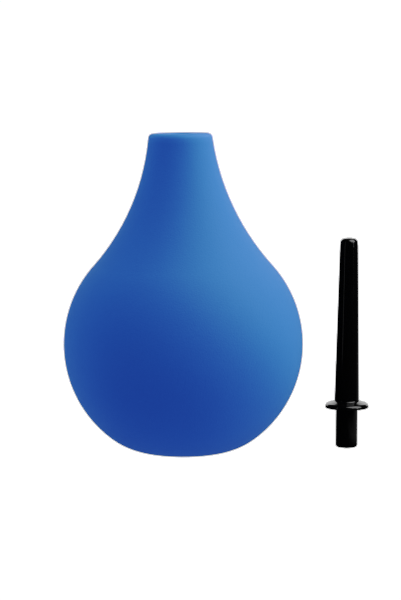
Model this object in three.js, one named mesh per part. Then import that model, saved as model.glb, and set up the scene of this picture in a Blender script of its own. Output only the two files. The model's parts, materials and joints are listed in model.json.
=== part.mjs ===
// Bulb syringe for filling pipettes: a hollow squeeze bulb moulded in one piece, and the hard
// tapered nozzle that plugs into its neck, here pulled out and stood up beside it.
// Millimetres, +Z up, origin in the middle of the flat foot that the bulb stands on.

import * as THREE from 'three';

// Bulb, outside
const bulbDiameter = 90;
const bulbHeight = 120;
const bodyArcOffset = 0.64; // from the axis to the centre of the body's arc
const footDiameter = 22.4; // flat face under the bulb
const footCornerRadius = 27;
const neckDiameter = 23.6; // at the rim, before its edge is rounded
const neckTaper = 7; // degrees off the axis
const neckStraight = 2; // straight side below the rim
const rimRounding = 1.7;

// Bulb, inside
const wallThickness = 2.8;
const boreLength = 24; // thick neck that grips the plug, from the rim down to the cavity
const boreClearance = 0.15; // between the bore and the plug, all round
const mouthRounding = 0.8;
const throatRounding = 1.5; // where the bore opens into the cavity
const ceilingRounding = 7; // between the cavity's side and its ceiling

// Nozzle
const nozzleLength = 80;
const plugDiameter = 8.15;
const plugLength = 15.2;
const plugEndRounding = 0.8;
const flangeDiameter = 16.44;
const flangeEdgeHeight = 1.3; // side of the flange, before its top edge is rounded
const flangeEdgeDraft = 8; // degrees off the axis
const flangeEdgeRounding = 1.2;
const flangeLipRounding = 0.15; // sharp lower edge, round the seat
const flangeSlope = 20; // degrees, from the edge up to the shaft
const shaftRootDiameter = 9.26;
const shaftTipDiameter = 6.7; // before the tip is rounded
const shaftFillet = 0.6;
const tipRounding = 2;
const channelPlugDiameter = 4.8;
const channelTipDiameter = 2.4;

// Where the nozzle stands, seen from the bulb's axis
const nozzleStandOff = 18.1; // from the bulb's widest circle to the nozzle's axis
const nozzleBearing = 7.5; // degrees from +X towards +Y

// Fineness of the facets
const chordError = 0.08; // most that a facet leaves its arc by
const widestFacet = 18; // degrees of arc
const bulbSides = 60;
const nozzleSides = 36;

const rubber = new THREE.MeshStandardMaterial({ color: 0x2861ae, roughness: 0.6, metalness: 0 });
const hardPlastic = new THREE.MeshStandardMaterial({ color: 0x0b0b0c, roughness: 0.18, metalness: 0 });

// A profile is a list of points (distance from the axis, height)
const point = (r, z) => new THREE.Vector2(r, z);
const radians = THREE.MathUtils.degToRad;
const angleTo = (from, to) => Math.atan2(to.y - from.y, to.x - from.x);

// Points along an arc, taken the short way round from one angle to the other
function arc(centre, radius, from, to) {
  const turn = THREE.MathUtils.euclideanModulo(to - from + Math.PI, 2 * Math.PI) - Math.PI;
  const facet = Math.min(radians(widestFacet), 2 * Math.acos(Math.max(0, 1 - chordError / radius)));
  const steps = Math.max(1, Math.ceil(Math.abs(turn) / facet));
  return Array.from({ length: steps + 1 }, (_, i) => {
    const angle = from + (turn * i) / steps;
    return point(centre.x + radius * Math.cos(angle), centre.y + radius * Math.sin(angle));
  });
}

// Points through the corners [r, z, rounding] of a sketch, where an edge that is too short
// for the roundings at its ends limits them
function roundedCorners(corners) {
  const at = (i) => point(...corners.at(i % corners.length).slice(0, 2));
  const towards = (i, j) => at(j).sub(at(i)).normalize();
  const halfAngle = (i) => Math.acos(towards(i, i - 1).dot(towards(i, i + 1))) / 2;
  const reach = corners.map(([, , rounding], i) => (rounding ? rounding / Math.tan(halfAngle(i)) : 0));
  const room = (i, j) => at(i).distanceTo(at(j)) / (reach.at(i) + reach.at(j % corners.length));
  return corners.flatMap(([, , rounding], i) => {
    if (!rounding) return [at(i)];
    const share = Math.min(1, room(i - 1, i), room(i, i + 1));
    const start = at(i).addScaledVector(towards(i, i - 1), reach[i] * share);
    const end = at(i).addScaledVector(towards(i, i + 1), reach[i] * share);
    const inward = towards(i, i - 1).add(towards(i, i + 1)).normalize();
    const radius = rounding * share;
    const centre = at(i).addScaledVector(inward, radius / Math.sin(halfAngle(i)));
    return arc(centre, radius, angleTo(centre, start), angleTo(centre, end));
  });
}

// Solid of revolution about +Z, without the points that two pieces of a profile share
function revolve(profile, sides) {
  const shortestEdge = 1e-3;
  const points = profile.filter((p, i) => i === 0 || p.distanceTo(profile[i - 1]) > shortestEdge);
  return new THREE.LatheGeometry(points, sides).rotateX(Math.PI / 2);
}

// The outside is four arcs that run into each other: foot corner, body, hollow shoulder and
// rim. The cavity follows them one wall thickness in, up to the thick neck and its bore.
function makeBulb() {
  const body = { radius: bulbDiameter / 2 - bodyArcOffset };
  const footCorner = {
    radius: Math.min(footCornerRadius, body.radius - (footDiameter / 2 - bodyArcOffset)),
  };
  footCorner.centre = point(footDiameter / 2, footCorner.radius);
  const cornerInset = body.radius - footCorner.radius;
  const bodyRise = Math.sqrt(cornerInset ** 2 - (footDiameter / 2 - bodyArcOffset) ** 2);
  body.centre = point(bodyArcOffset, footCorner.radius + bodyRise);

  // The shoulder ends along the neck's side, and its radius is the one that also meets the body
  const taper = radians(neckTaper);
  const rim = point(neckDiameter / 2, bulbHeight);
  const neckFoot = rim.clone().add(point(Math.sin(taper), -Math.cos(taper)).multiplyScalar(neckStraight));
  const outward = point(Math.cos(taper), Math.sin(taper));
  const fromBody = neckFoot.clone().sub(body.centre);
  const shoulder = {
    radius: (fromBody.lengthSq() - body.radius ** 2) / (2 * (body.radius - fromBody.dot(outward))),
  };
  shoulder.centre = neckFoot.clone().addScaledVector(outward, shoulder.radius);

  const boreRadius = plugDiameter / 2 + boreClearance;
  const ceilingHeight = bulbHeight - boreLength;
  const innerShoulderRadius = shoulder.radius + wallThickness;
  const ceiling = { radius: ceilingRounding };
  const below = shoulder.centre.y - (ceilingHeight - ceiling.radius);
  const across = Math.sqrt((innerShoulderRadius + ceiling.radius) ** 2 - below ** 2);
  ceiling.centre = point(shoulder.centre.x - across, ceilingHeight - ceiling.radius);

  const straightDown = -Math.PI / 2;
  const straightUp = Math.PI / 2;
  const cornerToBody = angleTo(body.centre, footCorner.centre);
  const bodyToShoulder = angleTo(body.centre, shoulder.centre);
  const shoulderToBody = angleTo(shoulder.centre, body.centre);

  const profile = [
    point(0, 0),
    ...arc(footCorner.centre, footCorner.radius, straightDown, cornerToBody),
    ...arc(body.centre, body.radius, cornerToBody, bodyToShoulder),
    ...arc(shoulder.centre, shoulder.radius, shoulderToBody, angleTo(shoulder.centre, neckFoot)),
    ...roundedCorners([
      [neckFoot.x, neckFoot.y],
      [rim.x, rim.y, rimRounding],
      [boreRadius, bulbHeight, mouthRounding],
      [boreRadius, ceilingHeight, throatRounding],
      [ceiling.centre.x, ceilingHeight],
    ]),
    ...arc(ceiling.centre, ceiling.radius, straightUp, angleTo(ceiling.centre, shoulder.centre)),
    ...arc(shoulder.centre, innerShoulderRadius, angleTo(shoulder.centre, ceiling.centre), shoulderToBody),
    ...arc(body.centre, body.radius - wallThickness, bodyToShoulder, cornerToBody),
    ...arc(footCorner.centre, footCorner.radius - wallThickness, cornerToBody, straightDown),
    point(0, wallThickness),
  ];
  const bulb = new THREE.Mesh(revolve(profile, bulbSides), rubber);
  bulb.name = 'bulb';
  return bulb;
}

// Plug, domed flange and tapered shaft in one moulding, with the channel that runs through it.
// The flat underside of the flange seats on the bulb's rim when the plug is in the bore.
function makeNozzle() {
  const edgeTop = plugLength + flangeEdgeHeight;
  const edgeRadius = flangeDiameter / 2 - flangeEdgeHeight * Math.tan(radians(flangeEdgeDraft));
  const shaftFoot = edgeTop + (edgeRadius - shaftRootDiameter / 2) * Math.tan(radians(flangeSlope));
  const profile = roundedCorners([
    [channelPlugDiameter / 2, 0],
    [plugDiameter / 2, 0, plugEndRounding],
    [plugDiameter / 2, plugLength],
    [flangeDiameter / 2, plugLength, flangeLipRounding],
    [edgeRadius, edgeTop, flangeEdgeRounding],
    [shaftRootDiameter / 2, shaftFoot, shaftFillet],
    [shaftTipDiameter / 2, nozzleLength, tipRounding],
    [channelTipDiameter / 2, nozzleLength],
  ]);
  const nozzle = new THREE.Mesh(revolve([...profile, profile[0]], nozzleSides), hardPlastic);
  nozzle.name = 'nozzle';
  return nozzle;
}

const nozzle = makeNozzle();
const bearing = radians(nozzleBearing);
nozzle.position.set(Math.cos(bearing), Math.sin(bearing), 0).multiplyScalar(bulbDiameter / 2 + nozzleStandOff);

const bulbSyringe = new THREE.Group();
bulbSyringe.add(makeBulb(), nozzle);

export default bulbSyringe;
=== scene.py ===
"""A bulb syringe: the rubber squeeze bulb, its loose nozzle beside it and a white studio."""

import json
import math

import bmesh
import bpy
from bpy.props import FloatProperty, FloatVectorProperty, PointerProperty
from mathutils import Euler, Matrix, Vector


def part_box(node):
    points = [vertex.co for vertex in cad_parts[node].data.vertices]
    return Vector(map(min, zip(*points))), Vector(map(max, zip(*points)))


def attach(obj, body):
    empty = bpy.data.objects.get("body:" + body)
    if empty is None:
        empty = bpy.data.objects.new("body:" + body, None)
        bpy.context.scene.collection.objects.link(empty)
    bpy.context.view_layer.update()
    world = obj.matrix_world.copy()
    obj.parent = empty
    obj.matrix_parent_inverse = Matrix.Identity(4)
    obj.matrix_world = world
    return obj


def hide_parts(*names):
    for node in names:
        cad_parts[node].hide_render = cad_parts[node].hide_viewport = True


bl_info = {
    "name": "Bulb Syringe",
    "version": (1, 0, 0),
    "blender": (4, 5, 0),
    "location": "View3D > Sidebar > Bulb Syringe",
    "description": "Turns a squeeze bulb and its hard nozzle, and sets a white studio round them",
    "category": "Add Mesh",
}

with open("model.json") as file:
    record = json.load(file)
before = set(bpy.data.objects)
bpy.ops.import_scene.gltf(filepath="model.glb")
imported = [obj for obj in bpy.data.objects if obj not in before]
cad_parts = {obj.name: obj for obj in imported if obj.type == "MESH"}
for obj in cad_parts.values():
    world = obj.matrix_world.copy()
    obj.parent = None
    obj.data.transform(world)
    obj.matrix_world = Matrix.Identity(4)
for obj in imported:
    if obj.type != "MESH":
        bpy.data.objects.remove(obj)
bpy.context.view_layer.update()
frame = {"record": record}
bulb_low, bulb_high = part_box("bulb")
nozzle_low, nozzle_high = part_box("nozzle")
nozzle_place = (nozzle_low + nozzle_high) / 2
seat_height = next(
    mount["pos_m"][2] for mount in frame["record"]["mounts"] if mount["name"] == "nozzle_seat"
)

MILLIMETRE = 0.001
WHITE = (1, 1, 1)


def size(name, description, default):
    """A length in metres that a user would change"""
    return FloatProperty(name=name, description=description, default=default, unit="LENGTH", precision=4)


def angle(name, description, degrees):
    """An angle that a user would change"""
    return FloatProperty(
        name=name, description=description, default=math.radians(degrees), unit="ROTATION", precision=4
    )


def share(name, description, default):
    """A strength or share from 0 to 1"""
    return FloatProperty(name=name, description=description, default=default, min=0, max=1, precision=3)


def colour(name, description, default):
    """A linear colour"""
    return FloatVectorProperty(
        name=name, description=description, default=default, subtype="COLOR", size=3, min=0, max=1
    )


class BulbSizes(bpy.types.PropertyGroup):
    """The squeeze bulb, outside and inside"""

    diameter: size("Diameter", "Width of the body", bulb_high.x - bulb_low.x)
    height: size("Height", "From the foot to the rim", bulb_high.z - bulb_low.z)
    body_offset: size("Body offset", "From the axis to the centre of the body's arc", 0.64 * MILLIMETRE)
    foot: size("Foot", "Width of the flat under the bulb", 22.4 * MILLIMETRE)
    foot_corner: size("Foot corner", "Radius between the foot and the body", 27 * MILLIMETRE)
    neck: size("Neck", "Width at the rim, before its edge is rounded", 23.6 * MILLIMETRE)
    neck_taper: angle("Neck taper", "Slope of the neck's side below the rim", 7)
    neck_straight: size("Neck straight", "Straight side below the rim", 2 * MILLIMETRE)
    rim_rounding: size("Rim rounding", "Radius of the rim's outer edge", 1.8 * MILLIMETRE)
    wall: size("Wall", "Thickness of the rubber below the neck", 2.8 * MILLIMETRE)
    bore: size("Bore", "Width of the hole that grips the plug", 8.45 * MILLIMETRE)
    bore_length: size("Bore length", "From the rim down to the cavity", 24 * MILLIMETRE)
    mouth_rounding: size("Mouth rounding", "Radius of the bore's upper edge", 0.8 * MILLIMETRE)
    throat_rounding: size("Throat rounding", "Radius of the bore's lower edge", 1.5 * MILLIMETRE)
    ceiling_rounding: size("Ceiling rounding", "Radius at the top of the cavity's side", 7 * MILLIMETRE)
    neck_lean: size("Neck lean", "How far the soft neck leans to the left at the rim", 1.1 * MILLIMETRE)


class NozzleSizes(bpy.types.PropertyGroup):
    """The hard nozzle, from the plug up"""

    length: size("Length", "From the plug's end to the tip", nozzle_high.z - nozzle_low.z)
    plug: size("Plug", "Width of the plug", 8.15 * MILLIMETRE)
    plug_length: size("Plug length", "From the plug's end to the seat", seat_height)
    plug_rounding: size("Plug rounding", "Radius of the plug's lower edge", 0.8 * MILLIMETRE)
    flange: size("Flange", "Width of the seat", 16.44 * MILLIMETRE)
    flange_edge: size("Flange edge", "Height of the flange's side", 1.45 * MILLIMETRE)
    flange_draft: angle("Flange draft", "Slope of the flange's side", 8)
    flange_rounding: size("Flange rounding", "Radius of the flange's upper edge", 1.2 * MILLIMETRE)
    lip_rounding: size("Lip rounding", "Radius of the edge round the seat", 0.15 * MILLIMETRE)
    flange_slope: angle("Flange slope", "Rise of the flange's top", 17.6)
    shaft_root: size("Shaft root", "Width of the shaft at the flange", 9.26 * MILLIMETRE)
    shaft_tip: size("Shaft tip", "Width of the shaft below the tip", 6.76 * MILLIMETRE)
    shaft_fillet: size("Shaft fillet", "Radius between the flange and the shaft", 0.6 * MILLIMETRE)
    tip_shoulder: size("Tip shoulder", "Length that draws in below the tip", 3 * MILLIMETRE)
    tip_slope: angle("Tip slope", "How much that length draws in", 5)
    tip_rounding: size("Tip rounding", "Radius of the tip's edge", 1.5 * MILLIMETRE)
    channel_plug: size("Channel in the plug", "Width of the channel at the plug", 4.8 * MILLIMETRE)
    channel_tip: size("Channel at the tip", "Width of the channel at the tip", 2.4 * MILLIMETRE)
    shaft_lean: size("Shaft lean", "How far the nozzle bends to the right", 0.48 * MILLIMETRE)


class Finishes(bpy.types.PropertyGroup):
    """The two materials"""

    rubber: colour("Rubber", "Base colour of the bulb", (0.0468, 0.1345, 0.4965))
    # painted highlight: the rim's paler colour stands in for light falling on the rim from above
    rim_highlight_colour: colour("Rim", "Base colour of the slightly paler rim", (0.056, 0.157, 0.565))
    rubber_sheen: colour("Rubber sheen", "Tint of the soft bloom at a glancing angle", (0.6, 0.85, 1.0))
    rubber_roughness: share("Rubber roughness", "Roughness of the moulded skin", 0.75)
    sheen_weight: share("Sheen weight", "Strength of the bloom", 0.03)
    plastic: colour("Plastic", "Base colour of the nozzle", (0.004, 0.004, 0.0042))
    plastic_roughness: share("Plastic roughness", "Roughness of the polished plastic", 0.08)


class Studio(bpy.types.PropertyGroup):
    """The camera and the floor"""

    camera_distance: size("Camera distance", "From the lens to the bulb's axis", 0.815)
    camera_height: size("Camera height", "Of the lens above the floor", 0.150)
    camera_side: size("Camera side", "From the bulb's axis to the right", 0.00647)
    camera_pitch: angle("Camera pitch", "Below the horizontal", 6.482)
    lens: FloatProperty(
        name="Lens", description="Focal length for a 36 mm sensor", default=130.78, unit="CAMERA"
    )
    floor_size: size("Floor", "Width of the floor", 8.0)
    paper_white: share("Paper white", "Brightness of the floor and surroundings to the camera", 0.62)


class Outline:
    """Half a section through a turned piece, drawn edge by edge in the XZ plane"""

    facet = math.radians(2.5)
    corner_segments = 8
    smallest_gap = 0.001 * MILLIMETRE
    sharpest_smooth_edge = math.radians(35)

    def __init__(self, radius, height):
        self.mesh = bmesh.new()
        self.pen = self.mesh.verts.new((radius, 0, height))
        self.corners = []

    def line(self, radius, height, rounding=0.0):
        """Draws a straight edge, to a corner that is rounded later"""
        self.pen = bmesh.ops.extrude_vert_indiv(self.mesh, verts=[self.pen])["verts"][0]
        self.pen.co = radius, 0, height
        if rounding:
            self.corners.append((self.pen, rounding))

    def arc(self, centre, turn):
        """Draws on round a centre, by an angle that is positive where it turns from +X to +Z"""
        swept = bmesh.ops.spin(
            self.mesh,
            geom=[self.pen],
            cent=(centre.x, 0, centre.y),
            axis=(0, -1, 0),
            angle=turn,
            steps=max(2, math.ceil(abs(turn) / self.facet)),
        )
        self.pen = swept["geom_last"][0]

    def round_corners(self):
        """Puts an arc of each corner's own radius in its place"""
        for corner, rounding in self.corners:
            first, second = (edge.other_vert(corner).co - corner.co for edge in corner.link_edges)
            bmesh.ops.bevel(
                self.mesh,
                geom=[corner],
                offset=rounding / math.tan(first.angle(second) / 2),
                affect="VERTICES",
                segments=self.corner_segments,
                profile=0.5,
                material=-1,
            )

    def turn(self, name, sides, place=(0, 0)):
        """Spins the outline about an upright axis and returns the closed solid's object"""
        bmesh.ops.spin(
            self.mesh,
            geom=self.mesh.verts[:] + self.mesh.edges[:],
            cent=(0, 0, 0),
            axis=(0, 0, 1),
            angle=math.tau,
            steps=sides,
            use_merge=True,
        )
        bmesh.ops.remove_doubles(self.mesh, verts=self.mesh.verts, dist=self.smallest_gap)
        bmesh.ops.recalc_face_normals(self.mesh, faces=self.mesh.faces)
        bmesh.ops.translate(self.mesh, verts=self.mesh.verts, vec=(*place, 0))
        for face in self.mesh.faces:
            face.smooth = True
        data = bpy.data.meshes.new(name)
        self.mesh.to_mesh(data)
        self.mesh.free()
        data.set_sharp_from_angle(angle=self.sharpest_smooth_edge)
        piece = bpy.data.objects.new(name, data)
        bpy.context.scene.collection.objects.link(piece)
        return piece


class Value:
    """A number that varies over a surface: an output socket that takes Python's operators"""

    def __init__(self, shader, socket):
        self.shader = shader
        self.socket = socket

    def maths(self, operation, first, second):
        return self.shader.node("ShaderNodeMath", {"operation": operation}, {0: first, 1: second})

    def __add__(self, other):
        return self.maths("ADD", self, other)

    def __radd__(self, other):
        return self.maths("ADD", other, self)

    def __sub__(self, other):
        return self.maths("SUBTRACT", self, other)

    def __rsub__(self, other):
        return self.maths("SUBTRACT", other, self)

    def __mul__(self, other):
        return self.maths("MULTIPLY", self, other)

    def __rmul__(self, other):
        return self.maths("MULTIPLY", other, self)


class Shader:
    """The node tree of a material or the world"""

    def __init__(self, owner):
        owner.use_nodes = True
        self.tree = owner.node_tree
        self.tree.nodes.clear()

    def node(self, kind, settings=None, sockets=None, output=0):
        """Adds a node, makes its settings, then sets or links its sockets, and returns one output"""
        made = self.tree.nodes.new(kind)
        for name, value in (settings or {}).items():
            setattr(made, name, value)
        for name, value in (sockets or {}).items():
            if isinstance(value, Value):
                self.tree.links.new(value.socket, made.inputs[name])
            else:
                made.inputs[name].default_value = value
        return Value(self, made.outputs[output]) if len(made.outputs) else made

    def noise(self, place, scale, detail):
        """Fractal noise from 0 to 1, with features about 1 / scale metres wide"""
        sockets = {"Vector": place, "Scale": scale, "Detail": detail}
        return self.node("ShaderNodeTexNoise", sockets=sockets)

    def ramp(self, value, start, end):
        """Rises smoothly from 0 to 1 while the value goes from start to end"""
        sockets = {"Value": value, "From Min": start, "From Max": end}
        return self.node("ShaderNodeMapRange", {"interpolation_type": "SMOOTHSTEP"}, sockets)

    def along(self, vector, axis):
        """How far a vector goes along X, Y or Z"""
        return self.node("ShaderNodeSeparateXYZ", sockets={"Vector": vector}, output=axis)

    def bump(self, relief, strength, depth):
        """A normal that follows a relief whose height of 1 is so many metres"""
        sockets = {"Strength": strength, "Distance": depth, "Height": relief}
        return self.node("ShaderNodeBump", sockets=sockets)

    def mix_colours(self, factor, first, second):
        """One colour to another by a value"""
        first, second = (pick if isinstance(pick, Value) else (*pick, 1) for pick in (first, second))
        factor_input, first_input, second_input, colour_output = 0, 6, 7, 2
        sockets = {factor_input: factor, first_input: first, second_input: second}
        return self.node("ShaderNodeMix", {"data_type": "RGBA"}, sockets, colour_output)

    def ray(self, kind):
        """1 for a ray that looks from the camera, from a matte surface or from a glossy one"""
        return self.node("ShaderNodeLightPath", output=f"Is {kind} Ray")

    def glow(self, kind, tint, strength):
        """Light of one colour, from an Emission or a Background node"""
        return self.node(kind, sockets={"Color": (*tint, 1), "Strength": strength})

    def cover(self, amount, upper, lower=None):
        """Lays one shader over another, or over black, by a value"""
        lower_input, upper_input = 1, 2
        sockets = {"Fac": amount, upper_input: upper}
        if lower:
            sockets[lower_input] = lower
        return self.node("ShaderNodeMixShader", sockets=sockets)


def new_material(name):
    """An empty material and the shader that fills it"""
    material = bpy.data.materials.new(name)
    return material, Shader(material)


def rubber_material(finish, height):
    """Matte moulded rubber: a fine satin grain, faint mottling, a soft bloom, and a painted highlight
    that makes the rim paler
    """
    cloud_share = 0.35
    shade_range = 0.05
    pale_from = height - 4 * MILLIMETRE
    palest_at = height - 0.5 * MILLIMETRE
    patch_range = 0.4
    roughness_range = 0.08
    material, shader = new_material("soft_rubber")
    place = shader.node("ShaderNodeTexCoord", output="Object")
    cloud = shader.noise(place, scale=45, detail=3)
    speckle = shader.noise(place, scale=1100, detail=2)
    grain = shader.noise(place, scale=1800, detail=3)

    shade = Vector(finish.rubber)
    mottle = cloud * cloud_share + speckle * (1 - cloud_share)
    skin = shader.mix_colours(mottle, shade * (1 - shade_range), shade * (1 + shade_range))
    patches = 1 - patch_range / 2 + cloud * patch_range
    # Painted highlight: the top few millimetres blend, in cloudy patches, to the paler rim colour, as if
    # lit from above
    painted_rim_highlight = shader.ramp(shader.along(place, "Z"), pale_from, palest_at) * patches
    gentle_dents = cloud * 4
    surface = shader.node(
        "ShaderNodeBsdfPrincipled",
        sockets={
            "Base Color": shader.mix_colours(painted_rim_highlight, skin, finish.rim_highlight_colour),
            "Roughness": finish.rubber_roughness - roughness_range / 2 + grain * roughness_range,
            "Specular IOR Level": 0.3,
            "Sheen Weight": finish.sheen_weight,
            "Sheen Roughness": 0.5,
            "Sheen Tint": (*finish.rubber_sheen, 1),
            "Normal": shader.bump(gentle_dents + grain, strength=1, depth=0.06 * MILLIMETRE),
        },
    )
    shader.node("ShaderNodeOutputMaterial", sockets={"Surface": surface})
    return material


def plastic_material(finish):
    """Polished black moulded plastic: glossy, with the slight ripple and haze of a moulded skin"""
    shade_range = 0.2
    roughness_range = 0.04
    material, shader = new_material("glossy_black_plastic")
    place = shader.node("ShaderNodeTexCoord", output="Object")
    haze = shader.noise(place, scale=900, detail=3)
    ripple = shader.noise(place, scale=180, detail=1)

    shade = Vector(finish.plastic)
    surface = shader.node(
        "ShaderNodeBsdfPrincipled",
        sockets={
            "Base Color": shader.mix_colours(haze, shade * (1 - shade_range), shade * (1 + shade_range)),
            "Roughness": finish.plastic_roughness - roughness_range / 2 + haze * roughness_range,
            "Specular IOR Level": 0.93,
            "Normal": shader.bump(ripple, strength=0.1, depth=0.1 * MILLIMETRE),
        },
    )
    shader.node("ShaderNodeOutputMaterial", sockets={"Surface": surface})
    return material


def floor_material(paper_white):
    """Paper that the camera sees as plain white, and that lights the pieces softly from below

    The light is a little blue, as if the paper had picked up the bulb's colour. Glossy surfaces mirror
    only a stretch of paper to the right.
    """
    picked_up_blue = (0.747, 0.868, 1)
    bounce_strength = 0.379
    mirrored_strength = 0.09
    near_side, far_side = (0.065, 0.085), (0.6, 0.4)
    front, slant = (-0.1, -0.02), 0.45
    material, shader = new_material("white_floor")
    place = shader.node("ShaderNodeTexCoord", output="Object")
    right = shader.along(place, "X")
    back = shader.along(place, "Y")
    stretch = shader.ramp(right, *near_side) * shader.ramp(right, *far_side)
    stretch = stretch * shader.ramp(back - right * slant, *front)

    emission = "ShaderNodeEmission"
    mirrored = shader.glow(emission, WHITE, mirrored_strength)
    bounce = shader.glow(emission, picked_up_blue, bounce_strength)
    white = shader.glow(emission, WHITE, paper_white)
    surface = shader.cover(shader.ray("Glossy") * stretch, mirrored)
    surface = shader.cover(shader.ray("Diffuse"), bounce, surface)
    surface = shader.cover(shader.ray("Camera"), white, surface)
    shader.node("ShaderNodeOutputMaterial", sockets={"Surface": surface})
    material.cycles.emission_sampling = "NONE"
    return material


def direction(centre, towards):
    """Angle from +X of the way from one point of the section to another"""
    return math.atan2(towards.y - centre.y, towards.x - centre.x)


def short_turn(start, end):
    """The short way round from one angle to another"""
    return (end - start + math.pi) % math.tau - math.pi


def draw_bulb(bulb):
    """The bulb's section: foot corner, body, hollow shoulder and rim, then bore and cavity"""
    straight_down, straight_up = -math.pi / 2, math.pi / 2
    half_foot = bulb.foot / 2
    body_radius = bulb.diameter / 2 - bulb.body_offset
    inset = body_radius - bulb.foot_corner
    corner = Vector((half_foot, bulb.foot_corner))
    body_rise = math.sqrt(inset**2 - (half_foot - bulb.body_offset) ** 2)
    body = Vector((bulb.body_offset, bulb.foot_corner + body_rise))

    # The shoulder runs on from the neck's side, and its radius is the one that also meets the body
    rim = Vector((bulb.neck / 2, bulb.height))
    along = Vector((math.sin(bulb.neck_taper), -math.cos(bulb.neck_taper)))
    outward = Vector((math.cos(bulb.neck_taper), math.sin(bulb.neck_taper)))
    neck_foot = rim + along * bulb.neck_straight
    from_body = neck_foot - body
    short_of_body = body_radius - from_body.dot(outward)
    shoulder_radius = (from_body.length_squared - body_radius**2) / (2 * short_of_body)
    shoulder = neck_foot + outward * shoulder_radius

    ceiling_height = bulb.height - bulb.bore_length
    ceiling_drop = shoulder.y - (ceiling_height - bulb.ceiling_rounding)
    inner_shoulder = shoulder_radius + bulb.wall
    ceiling_reach = math.sqrt((inner_shoulder + bulb.ceiling_rounding) ** 2 - ceiling_drop**2)
    ceiling = Vector((shoulder.x - ceiling_reach, ceiling_height - bulb.ceiling_rounding))

    to_body = direction(body, corner)
    to_shoulder = direction(body, shoulder)
    to_neck = direction(shoulder, neck_foot)
    from_shoulder = direction(shoulder, body)
    to_ceiling = direction(shoulder, ceiling)

    outline = Outline(0, 0)
    outline.line(half_foot, 0)
    outline.arc(corner, short_turn(straight_down, to_body))
    outline.arc(body, short_turn(to_body, to_shoulder))
    outline.arc(shoulder, short_turn(from_shoulder, to_neck))
    outline.line(*rim, bulb.rim_rounding)
    outline.line(bulb.bore / 2, bulb.height, bulb.mouth_rounding)
    outline.line(bulb.bore / 2, ceiling_height, bulb.throat_rounding)
    outline.line(ceiling.x, ceiling_height)
    outline.arc(ceiling, short_turn(straight_up, direction(ceiling, shoulder)))
    outline.arc(shoulder, short_turn(to_ceiling, from_shoulder))
    outline.arc(body, short_turn(to_shoulder, to_body))
    outline.arc(corner, short_turn(to_body, straight_down))
    outline.line(0, bulb.wall)
    outline.round_corners()
    return outline


def draw_nozzle(nozzle):
    """The nozzle's section: plug, flat seat, domed flange, tapered shaft, tip and the channel inside"""
    edge_top = nozzle.plug_length + nozzle.flange_edge
    edge_radius = nozzle.flange / 2 - nozzle.flange_edge * math.tan(nozzle.flange_draft)
    shaft_foot = edge_top + (edge_radius - nozzle.shaft_root / 2) * math.tan(nozzle.flange_slope)
    shoulder_height = nozzle.length - nozzle.tip_shoulder
    shoulder_rounding = 3 * nozzle.tip_shoulder
    drawn_in = nozzle.tip_shoulder * math.tan(nozzle.tip_slope)

    outline = Outline(nozzle.channel_plug / 2, 0)
    outline.line(nozzle.plug / 2, 0, nozzle.plug_rounding)
    outline.line(nozzle.plug / 2, nozzle.plug_length)
    outline.line(nozzle.flange / 2, nozzle.plug_length, nozzle.lip_rounding)
    outline.line(edge_radius, edge_top, nozzle.flange_rounding)
    outline.line(nozzle.shaft_root / 2, shaft_foot, nozzle.shaft_fillet)
    outline.line(nozzle.shaft_tip / 2, shoulder_height, shoulder_rounding)
    outline.line(nozzle.shaft_tip / 2 - drawn_in, nozzle.length, nozzle.tip_rounding)
    outline.line(nozzle.channel_tip / 2, nozzle.length)
    outline.line(nozzle.channel_plug / 2, 0)
    outline.round_corners()
    return outline


def bend(piece, axis, start, end, lean, still=0.0):
    """Bends an upright piece to the right, more and more from its start to its end

    The tilt is about the piece's own axis, and still is the share of the way up that stays in place.
    """
    for vertex in piece.data.vertices:
        rise = min(max((vertex.co.z - start) / (end - start), 0), 1)
        tilt = lean / (end - start) * rise
        vertex.co.z -= (vertex.co.x - axis) * tilt
        vertex.co.x += lean * (rise**2 - still**2)


class BULBSYRINGE_OT_bulb(bpy.types.Operator):
    """Turn the rubber squeeze bulb"""

    bl_idname = "bulb_syringe.bulb"
    bl_label = "Squeeze Bulb"

    def execute(self, context):
        sizes = context.scene.bulb_sizes
        piece = draw_bulb(sizes).turn("squeeze_bulb", sides=180)
        bend(piece, 0, sizes.height / 3, sizes.height, -sizes.neck_lean)
        piece.data.materials.append(rubber_material(context.scene.finishes, sizes.height))
        piece.visible_glossy = False
        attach(piece, "bulb")
        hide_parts("bulb")
        return {"FINISHED"}


class BULBSYRINGE_OT_nozzle(bpy.types.Operator):
    """Turn the hard nozzle where it stands beside the bulb"""

    bl_idname = "bulb_syringe.nozzle"
    bl_label = "Nozzle"

    def execute(self, context):
        sizes = context.scene.nozzle_sizes
        piece = draw_nozzle(sizes).turn("tapered_nozzle", sides=96, place=nozzle_place.xy)
        bend(piece, nozzle_place.x, 0, sizes.length, sizes.shaft_lean, still=0.66)
        piece.data.materials.append(plastic_material(context.scene.finishes))
        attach(piece, "nozzle")
        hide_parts("nozzle")
        return {"FINISHED"}


class BULBSYRINGE_OT_stage(bpy.types.Operator):
    """Set the white floor, the soft lights and the camera"""

    bl_idname = "bulb_syringe.stage"
    bl_label = "Studio"

    def execute(self, context):
        studio = context.scene.studio
        add_floor(studio)
        add_lights()
        add_surroundings(studio)
        add_camera(studio)
        return {"FINISHED"}


def add_floor(studio):
    """A plain square floor under both pieces"""
    mesh = bmesh.new()
    bmesh.ops.create_grid(mesh, x_segments=1, y_segments=1, size=studio.floor_size / 2)
    data = bpy.data.meshes.new("floor")
    mesh.to_mesh(data)
    mesh.free()
    data.materials.append(floor_material(studio.paper_white))
    floor = bpy.data.objects.new("floor", data)
    bpy.context.scene.collection.objects.link(floor)


def around(centre, bearing, rise, distance=1.0):
    """The place at a distance from a centre, by degrees to the viewer's right and degrees up"""
    way = Vector((0, -distance, 0))
    way.rotate(Euler((math.radians(-rise), 0, math.radians(bearing))))
    return centre + way


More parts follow.
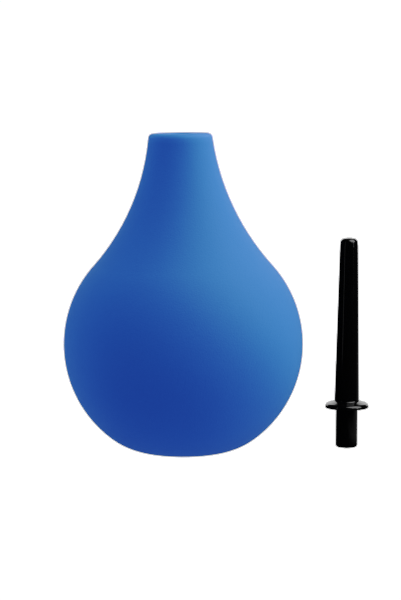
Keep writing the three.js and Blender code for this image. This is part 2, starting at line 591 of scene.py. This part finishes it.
def add_softbox(name, place, aim, power, width, height=None, tint=WHITE, matte=True, mirrored=True):
    """A soft light that faces a point, and may light only matte surfaces or only show in glossy ones"""
    light = bpy.data.lights.new(name, "AREA")
    light.shape = "RECTANGLE"
    light.size = width
    light.size_y = height or width
    light.energy = power
    light.color = tint
    softbox = bpy.data.objects.new(name, light)
    softbox.location = place
    softbox.rotation_euler = (aim - place).to_track_quat("-Z", "Y").to_euler()
    softbox.visible_diffuse = matte
    softbox.visible_glossy = mirrored
    bpy.context.scene.collection.objects.link(softbox)


def add_lights():
    """A ring of softboxes round the bulb, the strongest at the upper right

    Of the ring the nozzle mirrors only that one, with a skirt that runs down from it. A strip lights the
    nozzle's left side.
    """
    centre = Vector((0, 0, bulb_high.z / 2))
    key = around(centre, bearing=60, rise=48)
    right = around(centre, bearing=90, rise=8)
    right_rim = around(centre, bearing=120, rise=32)
    near_right = around(centre, bearing=90, rise=60, distance=0.45)
    near_left = around(centre, bearing=-60, rise=45, distance=0.45)
    left_rim = around(centre, bearing=-120, rise=8)
    warm = (1.14, 1, 1)
    add_softbox("key_softbox", key, centre, power=3.9, width=1.15)
    add_softbox("right_softbox", right, centre, power=1.78, width=0.5, tint=warm, mirrored=False)
    add_softbox("right_rim_softbox", right_rim, centre, power=2.18, width=0.5, tint=warm, mirrored=False)
    add_softbox("near_right_softbox", near_right, centre, power=0.435, width=0.4, mirrored=False)
    add_softbox("near_left_softbox", near_left, centre, power=0.32, width=0.4, mirrored=False)
    add_softbox("left_rim_softbox", left_rim, centre, power=2.36, width=0.5, mirrored=False)

    upper = around(centre, bearing=64, rise=13.2)
    lower = around(centre, bearing=60, rise=3.5)
    add_softbox("key_upper_skirt", upper, centre, power=0.25, width=0.55, height=0.165, matte=False)
    add_softbox("key_lower_skirt", lower, centre, power=0.035, width=0.09, height=0.17, matte=False)

    left_of_nozzle = nozzle_place + Vector((-0.25, -0.16, 0.08))
    add_softbox("left_strip", left_of_nozzle, nozzle_place, power=0.0045, width=0.035, height=0.2)


def add_surroundings(studio):
    """White surroundings, of which glossy surfaces mirror only a pale wall behind the pieces"""
    wall_strength = 0.6
    wall_sides, wall_foot, wall_top = (0.6, 0.9), (0.05, 0.09), (0.68, 0.58)
    world = bpy.data.worlds.new("white_surroundings")
    bpy.context.scene.world = world
    shader = Shader(world)
    way = shader.node("ShaderNodeTexCoord", output="Generated")
    back = shader.along(way, "Y")
    up = shader.along(way, "Z")
    wall = shader.ramp(back, *wall_sides) * shader.ramp(up, *wall_foot) * shader.ramp(up, *wall_top)

    background = "ShaderNodeBackground"
    mirrored = shader.glow(background, WHITE, wall_strength)
    white = shader.glow(background, WHITE, studio.paper_white)
    surface = shader.cover(shader.ray("Glossy") * wall, mirrored)
    surface = shader.cover(shader.ray("Camera"), white, surface)
    shader.node("ShaderNodeOutputWorld", sockets={"Surface": surface})
    world.cycles.sampling_method = "NONE"


def add_camera(studio):
    """The photographer's camera, level from side to side and tilted down"""
    data = bpy.data.cameras.new("camera")
    data.lens = studio.lens
    camera = bpy.data.objects.new("camera", data)
    camera.location = studio.camera_side, -studio.camera_distance, studio.camera_height
    camera.rotation_euler = math.pi / 2 - studio.camera_pitch, 0, 0
    bpy.context.scene.collection.objects.link(camera)
    bpy.context.scene.camera = camera


def develop_film(scene):
    """The photograph's contrast: dark tones sink, middle tones rise, and light ones soon print white"""
    scene.view_settings.view_transform = "Standard"
    scene.view_settings.use_curve_mapping = True
    mapping = scene.view_settings.curve_mapping
    all_channels = mapping.curves[3]
    prints = ((0.02, 0.018), (0.1, 0.24), (0.3, 0.523), (0.5, 0.705), (0.54, 0.74), (0.6, 1.0))
    for light, tone in prints:
        all_channels.points.new(light, tone)
    mapping.update()


class BULBSYRINGE_PT_sidebar(bpy.types.Panel):
    """The pieces, their sizes and finishes"""

    bl_label = "Bulb Syringe"
    bl_space_type = "VIEW_3D"
    bl_region_type = "UI"
    bl_category = "Bulb Syringe"

    def draw(self, context):
        scene = context.scene
        for operator, settings in (
            (BULBSYRINGE_OT_bulb, scene.bulb_sizes),
            (BULBSYRINGE_OT_nozzle, scene.nozzle_sizes),
            (BULBSYRINGE_OT_stage, scene.studio),
            (None, scene.finishes),
        ):
            box = self.layout.box()
            if operator:
                box.operator(operator.bl_idname)
            for name in settings.__annotations__:
                box.prop(settings, name)


classes = (
    BulbSizes,
    NozzleSizes,
    Finishes,
    Studio,
    BULBSYRINGE_OT_bulb,
    BULBSYRINGE_OT_nozzle,
    BULBSYRINGE_OT_stage,
    BULBSYRINGE_PT_sidebar,
)
settings_groups = {
    "bulb_sizes": BulbSizes,
    "nozzle_sizes": NozzleSizes,
    "finishes": Finishes,
    "studio": Studio,
}


def register():
    for cls in classes:
        bpy.utils.register_class(cls)
    for name, group in settings_groups.items():
        setattr(bpy.types.Scene, name, PointerProperty(type=group))


def unregister():
    for name in settings_groups:
        delattr(bpy.types.Scene, name)
    for cls in reversed(classes):
        bpy.utils.unregister_class(cls)


def main():
    register()
    bpy.ops.bulb_syringe.bulb()
    bpy.ops.bulb_syringe.nozzle()
    bpy.ops.bulb_syringe.stage()
    develop_film(bpy.context.scene)


if __name__ == "__main__":
    main()
